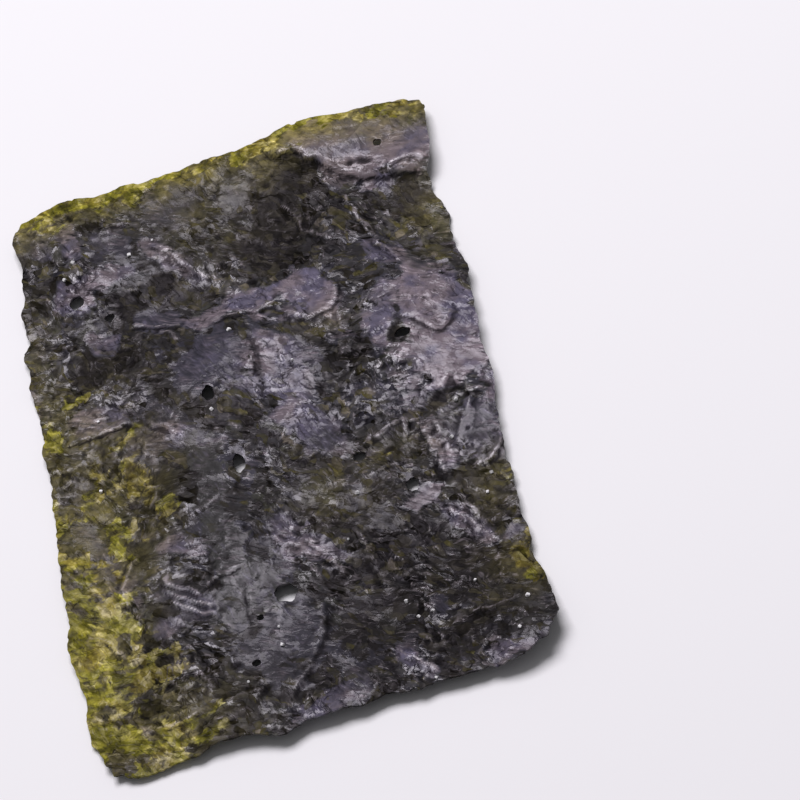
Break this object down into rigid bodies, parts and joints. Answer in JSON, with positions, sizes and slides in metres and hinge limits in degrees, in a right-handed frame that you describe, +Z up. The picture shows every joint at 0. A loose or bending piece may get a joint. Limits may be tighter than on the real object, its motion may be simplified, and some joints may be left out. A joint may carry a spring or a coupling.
{
  "type": "nori sheet",
  "caption": "Thin wavy leaf of roasted, salted seaweed cut to snack size, crumpled and torn through in small holes; lies on a plate or wraps rice.",
  "frame": {"origin": "middle of the leaf's plan, on the surface that it lies on", "axes": "+Y along the leaf's long side, +X across it, +Z up, away from the surface"},
  "size_m": [0.0519, 0.0875, 0.0031],
  "materials": {
    "nori": "oiled, crumpled, purple grey sheen over dark green"
  },
  "bodies": {
    "root": {"nori_sheet": "nori"}
  },
  "joints": []
}
